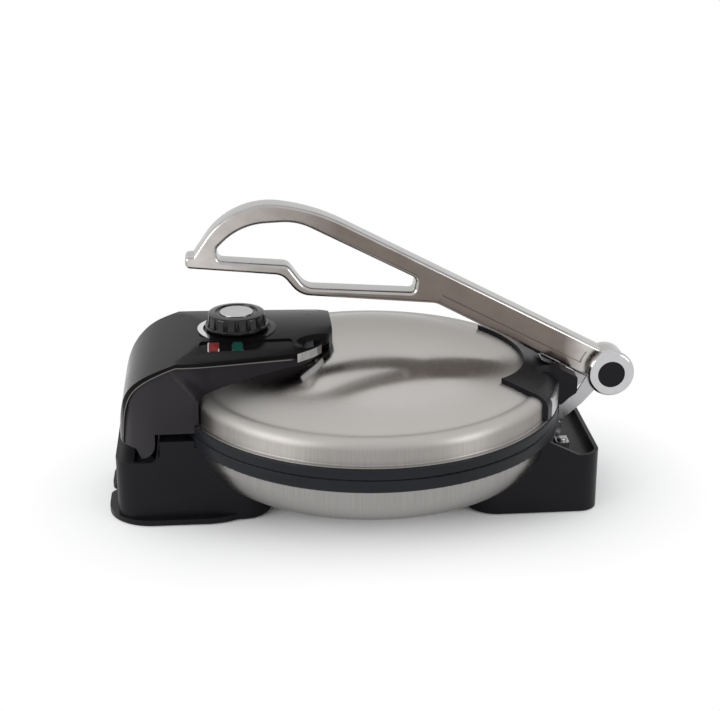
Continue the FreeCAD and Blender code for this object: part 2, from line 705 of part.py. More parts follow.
def lid_hinge_bracket():
    """Steel hinge of the lid: strap, knuckle on the pin, and the pad that the lever presses."""
    knuckle = rod(6, -HUB_HALF_W, HUB_HALF_W, HINGE_Y, HINGE_Z)
    pad = across(rounded("yz", (126, 101.4, 0), (126, 103.6, 1), (141.6, 95.6, 3), (147, 86, 0),
                         (144.6, 85, 0), (139.8, 93.9, 1)), -HUB_HALF_W + 1, HUB_HALF_W - 1)
    strap = hinge_strap(0)
    slots = both_sides(box((ARM_IN_X - 0.4, ARM_OUT_X + 0.4), (120, 160), (78.2, 100)))
    body = joined([without(strap, *slots), knuckle, pad])
    return without(body, rod(HINGE_PIN_R + RUNNING_GAP, -FAR, FAR, HINGE_Y, HINGE_Z))


# ---------------------------------------------------------------- knob and indicators

KNOB_BASE_Z = PANEL_Z + PANEL_CROWN + 1.6
KNOB_SEAT_H = 10.0       # height of the cap's seat above the knob's base
KNOB_FLUTES = 16


def knob():
    """Tall fluted knob on a low flange, with a raised rim round the seat of its cap."""
    seat = KNOB_SEAT_H
    profile = rounded("xz", (0, 0, 0), (KNOB_R, 0, 0.6), (KNOB_R, 2.4, 0.5), (21.6, 2.6, 0.3),
                      (20.7, 10.6, 1.8), (15.4, 11.4, 0.6), (14.8, seat, 0.3), (0, seat, 0))
    flutes = []
    for i in range(KNOB_FLUTES):
        flute = post(2.0, 22.1, 0, 2.4, 14)
        flute.rotate(Vector(0, 0, 0), Vector(0, 0, 1), 360 / KNOB_FLUTES * i)
        flutes.append(flute)
    body = without(turned(profile), *flutes)
    body.translate(Vector(0, KNOB_Y, KNOB_BASE_Z))
    return without(body, thermostat_shaft())


def knob_cap():
    """Bright disc on the knob's seat."""
    cap = turned(rounded("xz", (0, 0, 0), (12.1, 0, 0), (12.1, 1.2, 0.5), (0, 1.2, 0)))
    cap.translate(Vector(0, KNOB_Y, KNOB_BASE_Z + KNOB_SEAT_H))
    return cap


def thermostat_shaft():
    """Shaft that the knob turns, its lower end in the thermostat."""
    return post(SHAFT_R, 0, KNOB_Y, BOSS_Z - 3.9, KNOB_BASE_Z + 8)


NECK_R = 6.0


def thermostat():
    """Round can under the housing's boss, with a neck through it."""
    can = post(16, 0, KNOB_Y, BOSS_Z - 9, BOSS_Z)
    neck = post(NECK_R, 0, KNOB_Y, BOSS_Z, PANEL_Z + PANEL_CROWN - PANEL_T - 0.2)
    return without(joined([can, neck]), post(SHAFT_R + RUNNING_GAP, 0, KNOB_Y, BOSS_Z - 4, 140))


NODES = {
    "lower_shell": lower_shell,
    "lower_ring": lower_ring,
    "lower_plate": lambda: plate(LOWER_SEAT_Z, True),
    "lower_element": lambda: element(LOWER_SEAT_Z - HEATER_TUBE_R),
    "front_foot": front_foot,
    "rear_foot": rear_foot,
    "foot_pads": foot_pads,
    "lever_bracket": lever_bracket,
    "bracket_screws": bracket_screws,
    "lever_pin": lever_pin,
    "pivot_cap": pivot_cap,
    "cap_plug": cap_plug,
    "pivot_nut": pivot_nut,
    "lid_hinge_pin": lid_hinge_pin,
    "cord_gland": cord_gland,
    "lid_shell": lid_shell,
    "upper_ring": upper_ring,
    "upper_plate": lambda: plate(UPPER_SEAT_Z, False),
    "upper_element": lambda: element(UPPER_LEDGE_Z + HEATER_TUBE_R),
    "control_housing": control_housing,
    "control_panel": control_panel,
    "panel_trim": panel_trim,
    "scale_ring": scale_ring,
    "lamp_strip": lamp_strip,
    "lamp_bezels": lamp_bezels,
    "lamp_red": lambda: lamp(LAMPS["red"]),
    "lamp_green": lambda: lamp(LAMPS["green"]),
    "rear_cover": rear_cover,
    "lid_hinge_bracket": lid_hinge_bracket,
    "thermostat": thermostat,
    "knob": knob,
    "knob_cap": knob_cap,
    "thermostat_shaft": thermostat_shaft,
    "lever_bush": lever_bush,
    "press_lever": press_lever,
}

os.makedirs("parts", exist_ok=True)
for name, make in NODES.items():
    shape = make()
    shape.exportStep("parts/" + name + ".step")
    print(name, "solids", len(shape.Solids), "valid", shape.isValid(), "volume", round(shape.Volume))
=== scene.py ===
"""The electric roti maker's finishes and fine surfaces, with a pale floor, soft light and a camera.

Pieces are written in millimetres, in the frame's own axes, and put into Blender in metres.
"""
import bpy
import bmesh
import json
import math
import numpy as np
from mathutils import Matrix, Vector

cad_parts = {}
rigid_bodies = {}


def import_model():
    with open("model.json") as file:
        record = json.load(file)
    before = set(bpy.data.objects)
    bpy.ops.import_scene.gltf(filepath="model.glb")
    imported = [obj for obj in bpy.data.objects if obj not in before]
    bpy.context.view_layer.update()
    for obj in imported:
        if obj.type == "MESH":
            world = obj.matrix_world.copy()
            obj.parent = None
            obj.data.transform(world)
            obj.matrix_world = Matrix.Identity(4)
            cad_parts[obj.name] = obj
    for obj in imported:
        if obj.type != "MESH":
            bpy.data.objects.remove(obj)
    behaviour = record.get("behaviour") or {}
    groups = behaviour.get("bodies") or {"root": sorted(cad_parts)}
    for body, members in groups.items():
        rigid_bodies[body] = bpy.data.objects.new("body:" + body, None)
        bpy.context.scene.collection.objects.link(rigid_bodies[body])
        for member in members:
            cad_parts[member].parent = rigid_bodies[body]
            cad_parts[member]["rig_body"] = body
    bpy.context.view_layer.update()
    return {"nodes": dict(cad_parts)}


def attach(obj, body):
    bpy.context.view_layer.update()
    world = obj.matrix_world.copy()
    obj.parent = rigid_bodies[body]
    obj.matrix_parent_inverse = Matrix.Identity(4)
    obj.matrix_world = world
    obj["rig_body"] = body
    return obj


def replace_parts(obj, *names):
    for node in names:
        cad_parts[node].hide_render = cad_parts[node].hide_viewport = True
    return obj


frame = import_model()
NODES = frame["nodes"]
MM = 0.001
WELD = 2e-6                    # metres; points nearer than this to each other are joined


# ---------------------------------------------------------------- outlines

def rounded(corners, step):
    """Closed outline of a polygon whose corners (a, b, radius) are replaced by tangent arcs.

    An arc's points are centre + radius * (cos t, sin t), about a step apart, with t running evenly between
    both tangent points.
    """
    spots = np.array([corner[:2] for corner in corners], float)
    pieces = []
    for i, (spot, corner) in enumerate(zip(spots, corners)):
        radius = corner[2]
        if radius == 0:
            pieces.append(spot[None])
            continue
        back = spots[i - 1] - spot
        ahead = spots[(i + 1) % len(spots)] - spot
        back /= np.linalg.norm(back)
        ahead /= np.linalg.norm(ahead)
        half = math.acos(np.clip(back @ ahead, -1, 1)) / 2
        middle = (back + ahead) / np.linalg.norm(back + ahead)
        centre = spot + middle * (radius / math.sin(half))
        start = spot + back * (radius / math.tan(half)) - centre
        end = spot + ahead * (radius / math.tan(half)) - centre
        first = math.atan2(start[1], start[0])
        turn = (math.atan2(end[1], end[0]) - first + math.pi) % (2 * math.pi) - math.pi
        count = max(3, int(abs(turn) * radius / step) + 2)
        t = first + turn * np.linspace(0, 1, count)
        pieces.append(centre + radius * np.stack([np.cos(t), np.sin(t)], -1))
    return np.concatenate(pieces)


def distances(points):
    """Distance of each point along the chords from the first one."""
    return np.concatenate([[0], np.cumsum(np.linalg.norm(np.diff(points, axis=0), axis=1))])


def evenly(points, count):
    """Points at equal distances along a line of points."""
    run = distances(points)
    at = np.linspace(0, run[-1], count)
    return np.stack([np.interp(at, run, points[:, k]) for k in range(points.shape[1])], -1)


def spline(points, count):
    """Natural cubic spline through points, with the distance along their chords as its parameter."""
    run = distances(points)
    step = np.diff(run)
    inner = np.arange(1, len(run) - 1)
    system = np.eye(len(run))
    system[inner, inner] = 2 * (step[:-1] + step[1:])
    system[inner, inner - 1] = step[:-1]
    system[inner, inner + 1] = step[1:]
    slope = np.diff(points, axis=0) / step[:, None]
    bend = np.linalg.solve(system, np.vstack([[[0, 0]], 6 * np.diff(slope, axis=0), [[0, 0]]]))
    at = np.linspace(0, run[-1], count)
    i = np.clip(np.searchsorted(run, at, side="right") - 1, 0, len(step) - 1)
    left, right, width = (at - run[i])[:, None], (run[i + 1] - at)[:, None], step[i][:, None]
    return ((bend[i] * right ** 3 + bend[i + 1] * left ** 3) / (6 * width)
            + (points[i] / width - bend[i] * width / 6) * right
            + (points[i + 1] / width - bend[i + 1] * width / 6) * left)


# ---------------------------------------------------------------- meshes

def put(name, grid, body, finish, wrap_u=False):
    """A piece from a grid of points (u, v, 3), closed along v: each cell of four neighbours is one face."""
    rows, cols = grid.shape[:2]
    index = np.arange(rows * cols).reshape(rows, cols)
    if wrap_u:
        index = np.vstack([index, index[:1]])
    index = np.hstack([index, index[:, :1]])
    faces = np.stack([index[:-1, :-1], index[1:, :-1], index[1:, 1:], index[:-1, 1:]], -1).reshape(-1, 4)
    mesh = bpy.data.meshes.new(name)
    mesh.from_pydata((grid.reshape(-1, 3) * MM).tolist(), [], faces.tolist())
    return finished(name, mesh, body, finish)


def finished(name, mesh, body, finish, crease=35.0):
    """Closes the mesh's seams and poles, smooths it up to its creases, and sets it on its body."""
    work = bmesh.new()
    work.from_mesh(mesh)
    bmesh.ops.remove_doubles(work, verts=work.verts, dist=WELD)
    bmesh.ops.dissolve_degenerate(work, edges=work.edges, dist=1e-6)
    bmesh.ops.recalc_face_normals(work, faces=work.faces)
    for face in work.faces:
        face.smooth = True
    sharp = math.radians(crease)
    for edge in work.edges:
        edge.smooth = len(edge.link_faces) == 2 and edge.calc_face_angle(0) < sharp
    work.to_mesh(mesh)
    work.free()
    piece = bpy.data.objects.new(name, mesh)
    bpy.context.scene.collection.objects.link(piece)
    piece.data.materials.append(finish)
    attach(piece, body)
    return piece


def turned(name, profile, body, finish, count=320):
    """Surface of revolution: the closed profile (radius, height) carried once round the Z axis."""
    angle = np.linspace(0, 2 * np.pi, count, endpoint=False)[:, None]
    r, h = profile[:, 0][None], profile[:, 1][None]
    grid = np.stack([r * np.cos(angle), r * np.sin(angle), h + 0 * angle], -1)
    return put(name, grid, body, finish, wrap_u=True)


def dressed(node, finish, bevel=0.0, crease=30.0, reshape=None):
    """A smooth copy of a node in its place, reshaped or with its edges rounded by bevel millimetres."""
    source = NODES[node]
    mesh = source.data.copy()
    mesh.materials.clear()
    if reshape:
        reshape(mesh)
    piece = finished(node + "_surface", mesh, source["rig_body"], finish, crease)
    if bevel:
        work = bmesh.new()
        work.from_mesh(mesh)
        bmesh.ops.dissolve_limit(work, angle_limit=math.radians(1.0), verts=work.verts, edges=work.edges)
        work.to_mesh(mesh)
        work.free()
        edges = piece.modifiers.new("edges", "BEVEL")
        edges.width = bevel * MM
        edges.segments = 3
        edges.limit_method = "ANGLE"
        edges.angle_limit = math.radians(crease)
        edges.harden_normals = True
    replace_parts(piece, node)
    return piece


# ---------------------------------------------------------------- finishes

AROUND_R = 130.0               # radius at which marks round the axis have their full length


class Nodes:
    """Short hand for building a material's nodes."""

    def __init__(self, name):
        self.material = bpy.data.materials.new(name)
        self.material.use_nodes = True
        self.tree = self.material.node_tree
        self.shader = self.tree.nodes["Principled BSDF"]
        self.place = self.tree.nodes.new("ShaderNodeTexCoord").outputs["Object"]

    def add(self, kind, **values):
        """A new shader node with some of its settings."""
        node = self.tree.nodes.new("ShaderNode" + kind)
        for key, value in values.items():
            setattr(node, key, value)
        return node

    def link(self, a, b):
        """Joins an output to an input."""
        self.tree.links.new(a, b)

    def math(self, operation, a, b=0.0):
        """The result of an operation on one or two numbers or outputs."""
        node = self.add("Math", operation=operation)
        for socket, value in zip(node.inputs, (a, b)):
            if isinstance(value, (int, float)):
                socket.default_value = value
            else:
                self.link(value, socket)
        return node.outputs[0]

    def axes(self):
        """Object X, Y and Z in millimetres."""
        parts = self.add("SeparateXYZ")
        self.link(self.place, parts.inputs[0])
        return [self.math("MULTIPLY", part, 1 / MM) for part in parts.outputs]

    def stretched(self, x, y, z):
        """Object coordinates in millimetres divided by a length along each axis."""
        mapping = self.add("Mapping")
        mapping.inputs["Scale"].default_value = (1 / (x * MM), 1 / (y * MM), 1 / (z * MM))
        self.link(self.place, mapping.inputs["Vector"])
        return mapping.outputs[0]

    def around(self, length, height):
        """Coordinates that run round Z in steps of length (at AROUND_R), and along Z in steps of height."""
        x, y, z = self.axes()
        joined = self.add("CombineXYZ")
        self.link(self.math("MULTIPLY", self.math("ARCTAN2", y, x), AROUND_R / length), joined.inputs[0])
        self.link(self.math("DIVIDE", z, height), joined.inputs[1])
        return joined.outputs[0]

    def noise(self, vector, detail, rough=0.5):
        """Cloudy numbers round 0.5, one cloud to each unit of the vector."""
        node = self.add("TexNoise")
        node.inputs["Scale"].default_value = 1.0
        node.inputs["Detail"].default_value = detail
        node.inputs["Roughness"].default_value = rough
        self.link(vector, node.inputs["Vector"])
        return node.outputs["Fac"]

    def ramp(self, value, low, high, start=0.35, end=0.65, kind="LINEAR"):
        """A number from low to high as value goes from start to end."""
        node = self.add("MapRange", interpolation_type=kind)
        node.inputs["From Min"].default_value = start
        node.inputs["From Max"].default_value = end
        node.inputs["To Min"].default_value = low
        node.inputs["To Max"].default_value = high
        self.link(value, node.inputs["Value"])
        return node.outputs[0]

    def blend(self, value, low, high):
        """A colour from low to high as value goes from 0 to 1."""
        node = self.add("Mix", data_type="RGBA")
        self.link(value, node.inputs[0])
        node.inputs[6].default_value = (*low, 1)
        node.inputs[7].default_value = (*high, 1)
        return node.outputs[2]

    def mixed(self, value, low, high):
        """One colour output or the other as value goes from 0 to 1."""
        node = self.add("Mix", data_type="RGBA")
        for socket, source in zip((0, 6, 7), (value, low, high)):
            self.link(source, node.inputs[socket])
        return node.outputs[2]

    def bump(self, height, distance, strength):
        """Makes the surface look raised by distance millimetres where height is 1."""
        node = self.add("Bump")
        node.inputs["Strength"].default_value = strength
        node.inputs["Distance"].default_value = distance * MM
        self.link(height, node.inputs["Height"])
        self.link(node.outputs[0], self.shader.inputs["Normal"])

    def drive(self, name, value):
        """Joins an output to an input of the shader."""
        self.link(value, self.shader.inputs[name])

    def set(self, **values):
        """Plain values of the shader, with underscores for the spaces in their names."""
        for key, value in values.items():
            self.shader.inputs[key.replace("_", " ")].default_value = value


STEEL_EDGE_TINT = 0.55, 0.54, 0.53, 1
WALL_FOOT = 74.0, 77.0         # heights between which the lid's brushed wall begins
WALL_HEAD = 88.0, 96.0         # heights between which it ends
SATIN_EDGE = 96.0, 110.0       # heights between which the dome turns from satin to polished


def satin_steel():
    """Lid's pressed sheet: a polished crown, a satin edge and a brushed wall.

    The wall's brushing draws lights out into upright bands. The wall's colour is painted darker than the
    crown's as shade, and its marks are the brushing.
    """
    n = Nodes("satin_steel")
    height = n.axes()[2]
    wall = n.math("MULTIPLY", n.ramp(height, 0.0, 1.0, *WALL_FOOT), n.ramp(height, 1.0, 0.0, *WALL_HEAD))
    marks = n.noise(n.around(0.8, 30), 3.0, 0.6)
    cloud = n.noise(n.stretched(60, 60, 60), 2.0)
    # painted shade: the wall is coloured darker than the crown, with the brushing's marks on it
    wall_shade_and_marks = n.math("MULTIPLY", wall, n.ramp(marks, 0.8, 1.0, 0.4, 0.6))
    n.drive("Base Color", n.blend(wall_shade_and_marks, (0.52, 0.505, 0.485), (0.34, 0.322, 0.308)))
    satin = n.ramp(height, 0.42, 0.0, *SATIN_EDGE, "SMOOTHERSTEP")
    duller = n.math("SUBTRACT", satin, n.math("MULTIPLY", wall, 0.12))
    n.drive("Roughness", n.math("ADD", n.ramp(cloud, 0.13, 0.19), duller))
    n.drive("Tangent", n.add("Tangent", direction_type="RADIAL", axis="Z").outputs[0])
    n.drive("Anisotropic", n.math("MULTIPLY", wall, 0.85))
    n.bump(n.math("ADD", cloud, n.math("MULTIPLY", marks, 0.02)), 0.12, 0.4)
    n.set(Metallic=1.0, Specular_Tint=STEEL_EDGE_TINT, Anisotropic_Rotation=0.25)
    return n.material


def brushed_pan_in_painted_shade():
    """Pan's sheet, duller than the lid's, its colour painted darker as the shade it lies in, with faint marks
    up its side.
    """
    n = Nodes("brushed_pan_in_painted_shade")
    marks = n.noise(n.around(1.2, 40), 3.0, 0.6)
    cloud = n.noise(n.stretched(60, 60, 60), 2.0)
    # painted shade: the whole pan is coloured darker than the lid's steel
    n.drive("Base Color", n.blend(n.ramp(marks, 0.0, 1.0), (0.285, 0.28, 0.27), (0.325, 0.315, 0.305)))
    n.drive("Roughness", n.ramp(cloud, 0.24, 0.32))
    n.bump(n.math("ADD", cloud, n.math("MULTIPLY", marks, 0.02)), 0.12, 0.4)
    n.set(Metallic=1.0, Specular_Tint=STEEL_EDGE_TINT)
    return n.material


LEVER_SIDE_X = 8.8             # the lever's flat sides lie outside this
LEVER_HOLLOW_X = 7.2           # floor of the hollows in its sides
LOOP_TURN = -125.0, -20.0      # along Y, from the polished loop to the duller arm
HUB_TURN = 143.0, 160.0        # along Y, from the duller arm to the polished hub


def cast_metal():
    """Cast lever: bright edges, and warm grey sides and hollows, darker along the arm than at its ends."""
    n = Nodes("cast_metal")
    x, along, _ = n.axes()
    side = n.math("ABSOLUTE", x)
    outer = n.math("GREATER_THAN", side, LEVER_SIDE_X)
    tint = n.math("MAXIMUM", outer, n.math("COMPARE", side, LEVER_HOLLOW_X))
    waves = n.noise(n.stretched(9, 14, 9), 3.0)
    grain = n.noise(n.stretched(0.7, 0.7, 0.7), 2.0)
    arm = n.math("MULTIPLY", n.ramp(along, 0.0, 1.0, *LOOP_TURN), n.ramp(along, 1.0, 0.0, *HUB_TURN))
    bright = n.blend(waves, (0.36, 0.355, 0.35), (0.46, 0.455, 0.45))
    dull = n.blend(waves, (0.15, 0.12, 0.105), (0.23, 0.195, 0.175))
    pale = n.blend(waves, (0.46, 0.43, 0.41), (0.7, 0.67, 0.64))
    n.drive("Base Color", n.mixed(tint, bright, n.mixed(arm, pale, dull)))
    n.drive("Roughness", n.math("ADD", n.ramp(waves, 0.16, 0.28), n.ramp(grain, 0.0, 0.05)))
    n.bump(n.math("ADD", waves, n.math("MULTIPLY", grain, 0.12)), 0.1, 0.5)
    n.set(Metallic=1.0)
    return n.material


def plain_steel():
    """Folded steel and screws, faintly marked along one way."""
    n = Nodes("plain_steel")
    marks = n.noise(n.stretched(6, 0.4, 6), 3.0)
    n.drive("Base Color", n.blend(marks, (0.4, 0.4, 0.41), (0.52, 0.52, 0.53)))
    n.drive("Roughness", n.ramp(marks, 0.25, 0.4))
    n.set(Metallic=1.0)
    return n.material


def chrome():
    """Bright plating with slow clouds of colour and gloss."""
    n = Nodes("chrome")
    cloud = n.noise(n.stretched(6, 6, 6), 2.0)
    n.drive("Base Color", n.blend(cloud, (0.5, 0.5, 0.51), (0.6, 0.6, 0.61)))
    n.drive("Roughness", n.ramp(cloud, 0.06, 0.14))
    n.set(Metallic=1.0, Specular_Tint=(0.7, 0.7, 0.7, 1))
    return n.material


def moulded(name, dark, light, rough, grain_mm, depth_mm, shine=0.5):
    """Moulded plastic: an even fine grain, with slow variation of colour and gloss."""
    n = Nodes(name)
    cloud = n.noise(n.stretched(30, 30, 30), 2.0)
    grain = n.noise(n.stretched(grain_mm, grain_mm, grain_mm), 2.0)
    n.drive("Base Color", n.blend(cloud, dark, light))
    n.drive("Roughness", n.math("ADD", n.ramp(cloud, rough, rough + 0.06), n.ramp(grain, 0.0, 0.04)))
    n.bump(grain, depth_mm, 0.6)
    n.set(Specular_IOR_Level=shine)
    return n.material


KNOB_Y = -97.0
SCALE_BRIGHT = -22.5, -19.5    # from the knob's axis along Y, where the ring turns from bright to dark


def scale_print():
    """Ring round the knob, bright where it faces the cooker's front and dark elsewhere."""
    n = Nodes("scale_print")
    along = n.math("SUBTRACT", n.axes()[1], KNOB_Y)
    bright = n.ramp(along, 1.0, 0.0, *SCALE_BRIGHT)
    n.drive("Base Color", n.blend(bright, (0.006, 0.006, 0.006), (0.6, 0.6, 0.61)))
    n.drive("Metallic", bright)
    n.drive("Roughness", n.ramp(bright, 0.2, 0.1, 0.0, 1.0))
    n.set(Specular_IOR_Level=0.1)
    return n.material


def lens(name, dark, light):
    """Clear coloured lamp lens with fine ribs across it."""
    n = Nodes(name)
    ribs = n.add("TexWave", bands_direction="X")
    ribs.inputs["Scale"].default_value = 0.35
    n.link(n.stretched(1, 1, 1), ribs.inputs["Vector"])
    n.drive("Base Color", n.blend(ribs.outputs["Fac"], dark, light))
    n.bump(ribs.outputs["Fac"], 0.2, 0.5)
    n.set(Roughness=0.12, Specular_IOR_Level=0.1, Coat_Weight=0.1, Coat_Roughness=0.03)
    return n.material


STEEL = satin_steel()
PAN_STEEL = brushed_pan_in_painted_shade()
CAST = cast_metal()
PLAIN = plain_steel()
CHROME = chrome()
FOOT = moulded("foot_plastic", (0.006, 0.006, 0.008), (0.009, 0.009, 0.011), 0.32, 0.5, 0.02, 0.14)
HOUSING = moulded("housing_plastic", (0.013, 0.011, 0.014), (0.024, 0.021, 0.025), 0.38, 0.5, 0.02, 0.2)
GLOSS = moulded("gloss_plastic", (0.004, 0.004, 0.004), (0.007, 0.007, 0.007), 0.12, 3.0, 0.003, 0.04)
KNOB = moulded("knob_plastic", (0.006, 0.006, 0.006), (0.009, 0.009, 0.009), 0.1, 3.0, 0.003, 0.35)
# painted highlight: pale finish of the thin tube that stands in for the glint along the panel's edge
GLINT_PAINT = moulded("painted_glint", (0.1, 0.095, 0.09), (0.15, 0.142, 0.135), 0.3, 1.5, 0.003, 0.2)
SCALE = scale_print()
RING = moulded("ring_plastic", (0.008, 0.009, 0.011), (0.013, 0.014, 0.017), 0.36, 1.6, 0.03, 0.16)
PLATE = moulded("plate_coating", (0.02, 0.02, 0.021), (0.035, 0.035, 0.037), 0.32, 0.35, 0.03)
RUBBER = moulded("rubber", (0.02, 0.02, 0.02), (0.03, 0.03, 0.03), 0.75, 0.4, 0.05, 0.3)
BRONZE = moulded("bronze", (0.36, 0.24, 0.11), (0.45, 0.32, 0.16), 0.3, 0.6, 0.02)
RED = lens("red_lens", (0.1, 0.006, 0.008), (0.3, 0.03, 0.03))
GREEN = lens("green_lens", (0.0, 0.03, 0.022), (0.01, 0.1, 0.07))


# ---------------------------------------------------------------- lid and pan

LID_R = 136.0
DOME_Z = 120.5
DOME_FALL = 618.0
LID_FOOT_Z = 76.5
LIP_R = 138.8                  # rolled lip at the foot of the lid's wall
LIP_TOP_Z = LID_FOOT_Z + 1.6
WALL_MID_Z = 82.0
SHOULDER = ((LID_R, 86.5), (133.7, 92.4), (126.5, DOME_Z - 126.5 ** 2 / DOME_FALL))
STEEL_T = 1.0


def lid_profile(inset):
    """Half section of the lid, moved in by inset: an upright wall, a shoulder arc and a dome.

    On the dome z falls below its crown by r * r / DOME_FALL.
    The shoulder is the circle through three points: the wall's top, a middle one and the dome's edge.
    """
    low, mid, high = np.array(SHOULDER)
    sides = 2 * np.array([mid - low, high - low])
    centre = np.linalg.solve(sides, [mid @ mid - low @ low, high @ high - low @ low])
    radius = np.linalg.norm(low - centre)
    start, end = (math.atan2(*(point - centre)[::-1]) for point in (low, high))
    t = np.linspace(start, end, 40)
    shoulder = centre + (radius - inset) * np.stack([np.cos(t), np.sin(t)], -1)
    r = np.linspace(shoulder[-1, 0], 0, 90)[1:]
    dome = np.stack([r, shoulder[-1, 1] + (r[0] ** 2 - r ** 2) / DOME_FALL], -1)
    wall = np.array([[LID_R - inset, z] for z in (LIP_TOP_Z, LIP_TOP_Z + 0.4, WALL_MID_Z)])
    return np.vstack([wall, shoulder, dome])


def lid():
    """Pressed lid: the rolled lip, a quarter circle into the wall, up to the crown, and back down inside."""
    t = np.linspace(0, np.pi / 2, 8)[:, None]
    bend = np.array([LID_R + 1.0, LIP_TOP_Z]) - np.hstack([np.sin(t), np.cos(t)])
    lip = np.array([[LID_R - STEEL_T, LID_FOOT_Z], [LIP_R, LID_FOOT_Z], [LIP_R, LID_FOOT_Z + 0.5]])
    profile = np.vstack([lip, bend, lid_profile(0), lid_profile(STEEL_T)[::-1]])
    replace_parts(turned("lid_dome", profile, "lid", STEEL), "lid_shell")


PAN_R = 134.0
PAN_FLOOR_Z = 16.0
PAN_CORNER_R, PAN_CORNER_Z = 25.3, 52.0
PAN_BELLY_R, PAN_FLAT_R = 126.6, 63.3
PAN_SLOPE = math.radians(26.57)
PAN_RIM_Z = 62.0


def pan_profile(inset):
    """Half section of the pan, moved in by inset: flat floor, belly arc, corner arc, upright rim."""
    belly = np.linspace(0, PAN_SLOPE, 30)[:, None]
    corner = np.linspace(PAN_SLOPE, np.pi / 2, 30)[:, None]
    around = np.hstack([np.sin(belly), -np.cos(belly)])
    bend = np.hstack([np.sin(corner), -np.cos(corner)])
    belly_centre = np.array([PAN_FLAT_R, PAN_FLOOR_Z + PAN_BELLY_R])
    corner_centre = np.array([PAN_R - PAN_CORNER_R, PAN_CORNER_Z])
    return np.vstack([[[0, PAN_FLOOR_Z + inset]], belly_centre + (PAN_BELLY_R - inset) * around,
                      corner_centre + (PAN_CORNER_R - inset) * bend, [[PAN_R - inset, PAN_RIM_Z]]])


def pan():
    """Pressed pan, from the middle of its floor up to its rim and back down inside."""
    profile = np.vstack([pan_profile(0), pan_profile(STEEL_T)[::-1]])
    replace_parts(turned("pan_skin", profile, "base", PAN_STEEL), "lower_shell")


# ---------------------------------------------------------------- control end

HOUSING_FRONT_Y, PANEL_REAR_Y = -183.5, -26.0
HOUSING_HALF_W, REAR_HALF_W = 56.5, 46.0
FRONT_CORNER_R = 32.0
WAIST_Y, WAIST_R = -125.0, 150.0
SIDE_INSET = 1.6
PANEL_TOP_Z, PANEL_T = 129.5, 3.0
CROWN_HALF_W, CROWN_FALL = 59.5, 6.5
PLAIN_CORNER = ((REAR_HALF_W, PANEL_REAR_Y, 17),)      # X, Y and radius of each of its bends
SLANTED_CORNER = ((45.5, -56.0, 6), (35.0, -42.5, 30), (20.0, -31.5, 20), (0.1, PANEL_REAR_Y, 40))
DISH_X, DISH_Y, DISH_Z, DISH_R = 36.5, -44.0, 143.1, 20.0
DISH_FLOOR_R = 12.0            # what shows of the housing in the levelled dish lies inside this
DISH_MARGIN = 0.05
DISH_GAP = 0.02                # the housing stays this far under the levelled panel
LIFTED_POINTS, LIFTED_FACES = 2.5, 0.5         # down to these depths the housing under the dish was lifted

NECK_HALF_W = 38.8
NECK_LOW_Z, NECK_RISE = 95.0, 26.0
NECK_START_Y, NECK_LEAD = -126.0, 24.0
NECK_Y = -117.0
NECK_CORNER_R = 14.0
NECK_REAR_Y, NECK_REAR_SHARE = -60.0, 0.4

CORNER_CUTS = np.arange(-66.0, -27.0, 1.5)
NECK_CUTS_Y = np.concatenate([np.arange(-150.0, -126.0, 3.0), np.arange(-126.0, -117.0, 0.75),
                              np.arange(-42.0, -28.0, 1.0)])
NECK_CUTS_Z = np.arange(95.0, 121.0, 3.0)

# the painted highlight line along the panel's near lower edge, as a thin pale tube
GLINT_LINE_R = 0.4
GLINT_LINE_END_Y = -58.0
GLINT_LINE_ROWS, GLINT_LINE_END_ROWS = 240, 4
GLINT_LINE_SIDES = 12


def half_width(inset, rear_corner):
    """Half width of the control end seen from above, as points (Y, X), with the given rear corner."""
    half = HOUSING_HALF_W - inset
    outline = rounded([(0, HOUSING_FRONT_Y, 0), (half, HOUSING_FRONT_Y, FRONT_CORNER_R),
                       (half, WAIST_Y, WAIST_R), *rear_corner, (0, PANEL_REAR_Y - inset, 0)], 0.5)
    return outline[1:-1, ::-1]


def scaled_x(points, ratio):
    """Points with their X multiplied by a ratio of their own."""
    return points * np.stack([ratio, 1 + 0 * ratio, 1 + 0 * ratio], -1)


def panel_top(x):
    """Height of the panel's crowned top: a circle, lower by CROWN_FALL at CROWN_HALF_W from its middle."""
    radius = (CROWN_HALF_W ** 2 + CROWN_FALL ** 2) / (2 * CROWN_FALL)
    return PANEL_TOP_Z - radius + np.sqrt(radius ** 2 - x ** 2)


def level_far_dish(points, gap):
    """Lifts what lies in the hollow of the far rear corner up to gap under the panel's top."""
    x, y, z = points.T
    across = np.sqrt((x + DISH_X) ** 2 + (y - DISH_Y) ** 2 + (z - DISH_Z) ** 2)
    top = panel_top(x) - gap
    inside = (x < 0) & (across < DISH_R + DISH_MARGIN) & (z < top)
    return np.stack([x, y, np.where(inside, top, z)], -1)


def slanted_corner(points):
    """Gives the near rear corner its long slanting curve: X times the new half width over the old one.

    The dish in the far corner is levelled.
    """
    old = half_width(0.0, PLAIN_CORNER)
    new = half_width(0.0, SLANTED_CORNER)
    y = points[:, 1]
    ratio = np.interp(y, *new.T) / np.interp(y, *old.T)
    return level_far_dish(scaled_x(points, np.where(points[:, 0] > 0, ratio, 1.0)), 0.0)


